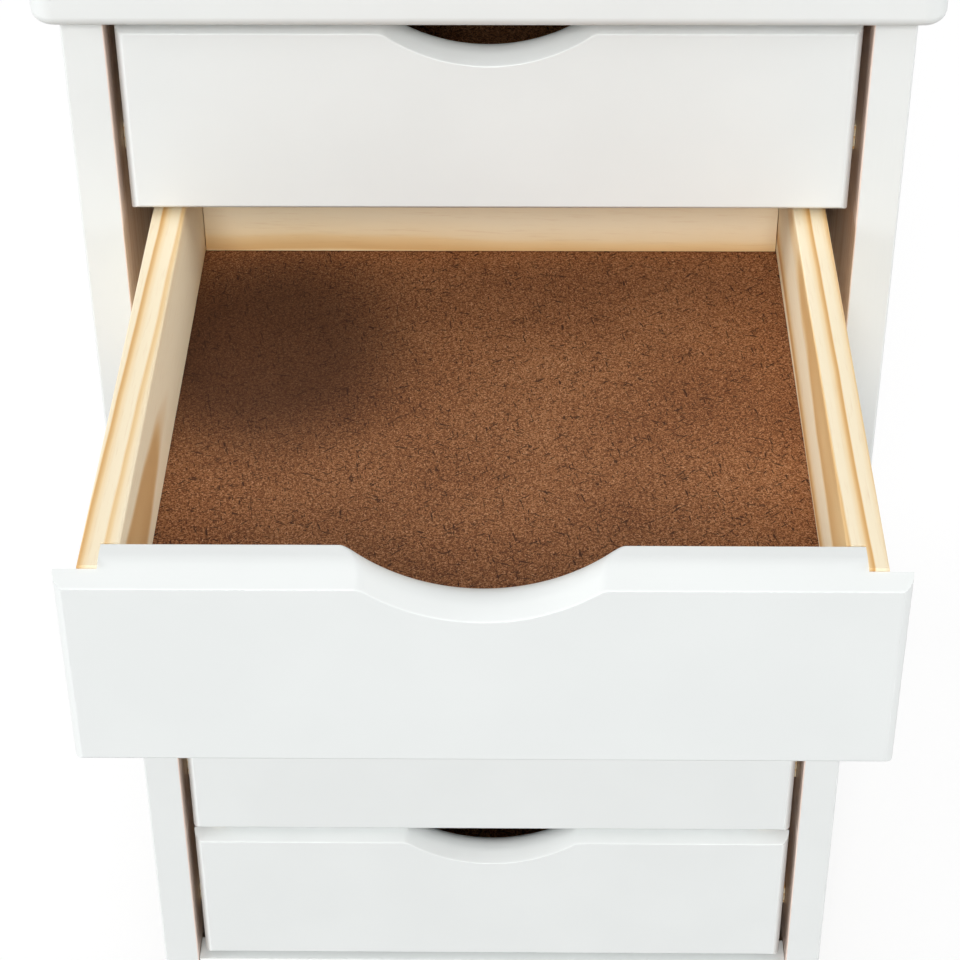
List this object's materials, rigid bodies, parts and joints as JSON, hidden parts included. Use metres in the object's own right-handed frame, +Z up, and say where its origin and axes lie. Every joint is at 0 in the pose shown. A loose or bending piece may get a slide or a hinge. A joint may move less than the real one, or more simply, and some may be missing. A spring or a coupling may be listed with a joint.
{
  "type": "rolling drawer cabinet",
  "caption": "White painted pine cabinet on swivel casters with inset drawers on wooden runners, each front rounded at its edges with a scooped finger pull; one drawer open.",
  "frame": {"origin": "on the floor under the middle of the whole object's box, with the second drawer standing open as in the picture", "axes": "+X across to the right as seen from the front, +Y to the back, +Z up"},
  "size_m": [0.35, 0.575, 0.6451],
  "materials": {
    "painted_pine": "white satin paint over sanded solid pine",
    "natural_pine": "clear sanded pine with straight grain",
    "hardboard": "smooth face of brown pressed fibreboard",
    "zinc_steel": "bright zinc plated pressed steel",
    "wheel_rubber": "moulded grey rubber"
  },
  "bodies": {
    "cabinet": {"left_side_panel": "painted_pine", "right_side_panel": "painted_pine", "top_panel": "painted_pine", "back_panel": "hardboard", "base_board": "natural_pine", "base_rail": "painted_pine", "runner_1_left": "natural_pine", "runner_1_right": "natural_pine", "runner_2_left": "natural_pine", "runner_2_right": "natural_pine", "runner_3_left": "natural_pine", "runner_3_right": "natural_pine", "runner_4_left": "natural_pine", "runner_4_right": "natural_pine", "runner_5_left": "natural_pine", "runner_5_right": "natural_pine", "runner_6_left": "natural_pine", "runner_6_right": "natural_pine"},
    "drawer_1": {"drawer_1_front": "painted_pine", "drawer_1_left_side": "natural_pine", "drawer_1_right_side": "natural_pine", "drawer_1_back": "natural_pine", "drawer_1_bottom": "hardboard"},
    "drawer_2": {"drawer_2_front": "painted_pine", "drawer_2_left_side": "natural_pine", "drawer_2_right_side": "natural_pine", "drawer_2_back": "natural_pine", "drawer_2_bottom": "hardboard"},
    "drawer_3": {"drawer_3_front": "painted_pine", "drawer_3_left_side": "natural_pine", "drawer_3_right_side": "natural_pine", "drawer_3_back": "natural_pine", "drawer_3_bottom": "hardboard"},
    "drawer_4": {"drawer_4_front": "painted_pine", "drawer_4_left_side": "natural_pine", "drawer_4_right_side": "natural_pine", "drawer_4_back": "natural_pine", "drawer_4_bottom": "hardboard"},
    "drawer_5": {"drawer_5_front": "painted_pine", "drawer_5_left_side": "natural_pine", "drawer_5_right_side": "natural_pine", "drawer_5_back": "natural_pine", "drawer_5_bottom": "hardboard"},
    "drawer_6": {"drawer_6_front": "painted_pine", "drawer_6_left_side": "natural_pine", "drawer_6_right_side": "natural_pine", "drawer_6_back": "natural_pine", "drawer_6_bottom": "hardboard"},
    "caster_front_left": {"caster_front_left_fork": "zinc_steel", "caster_front_left_axle": "zinc_steel"},
    "wheel_front_left": {"caster_front_left_wheel": "wheel_rubber"},
    "caster_front_right": {"caster_front_right_fork": "zinc_steel", "caster_front_right_axle": "zinc_steel"},
    "wheel_front_right": {"caster_front_right_wheel": "wheel_rubber"},
    "caster_rear_left": {"caster_rear_left_fork": "zinc_steel", "caster_rear_left_axle": "zinc_steel"},
    "wheel_rear_left": {"caster_rear_left_wheel": "wheel_rubber"},
    "caster_rear_right": {"caster_rear_right_fork": "zinc_steel", "caster_rear_right_axle": "zinc_steel"},
    "wheel_rear_right": {"caster_rear_right_wheel": "wheel_rubber"}
  },
  "joints": [
    {"name": "drawer_1_slide", "type": "slide", "parent": "cabinet", "child": "drawer_1", "axis": [0, -1, 0], "range_m": [0, 0.24]},
    {"name": "drawer_2_slide", "type": "slide", "parent": "cabinet", "child": "drawer_2", "axis": [0, -1, 0], "range_m": [-0.23, 0.01]},
    {"name": "drawer_3_slide", "type": "slide", "parent": "cabinet", "child": "drawer_3", "axis": [0, -1, 0], "range_m": [0, 0.24]},
    {"name": "drawer_4_slide", "type": "slide", "parent": "cabinet", "child": "drawer_4", "axis": [0, -1, 0], "range_m": [0, 0.24]},
    {"name": "drawer_5_slide", "type": "slide", "parent": "cabinet", "child": "drawer_5", "axis": [0, -1, 0], "range_m": [0, 0.24]},
    {"name": "drawer_6_slide", "type": "slide", "parent": "cabinet", "child": "drawer_6", "axis": [0, -1, 0], "range_m": [0, 0.24]},
    {"name": "caster_front_left_swivel", "type": "hinge", "parent": "cabinet", "child": "caster_front_left", "pos_m": [-0.113, -0.0075, 0.064], "axis": [0, 0, 1], "continuous": true},
    {"name": "wheel_front_left_roll", "type": "hinge", "parent": "caster_front_left", "child": "wheel_front_left", "pos_m": [-0.113, 0.0105, 0.025], "axis": [1, 0, 0], "continuous": true},
    {"name": "caster_front_right_swivel", "type": "hinge", "parent": "cabinet", "child": "caster_front_right", "pos_m": [0.113, -0.0075, 0.064], "axis": [0, 0, 1], "continuous": true},
    {"name": "wheel_front_right_roll", "type": "hinge", "parent": "caster_front_right", "child": "wheel_front_right", "pos_m": [0.113, 0.0105, 0.025], "axis": [1, 0, 0], "continuous": true},
    {"name": "caster_rear_left_swivel", "type": "hinge", "parent": "cabinet", "child": "caster_rear_left", "pos_m": [-0.113, 0.2375, 0.064], "axis": [0, 0, 1], "continuous": true},
    {"name": "wheel_rear_left_roll", "type": "hinge", "parent": "caster_rear_left", "child": "wheel_rear_left", "pos_m": [-0.113, 0.2555, 0.025], "axis": [1, 0, 0], "continuous": true},
    {"name": "caster_rear_right_swivel", "type": "hinge", "parent": "cabinet", "child": "caster_rear_right", "pos_m": [0.113, 0.2375, 0.064], "axis": [0, 0, 1], "continuous": true},
    {"name": "wheel_rear_right_roll", "type": "hinge", "parent": "caster_rear_right", "child": "wheel_rear_right", "pos_m": [0.113, 0.2555, 0.025], "axis": [1, 0, 0], "continuous": true}
  ]
}
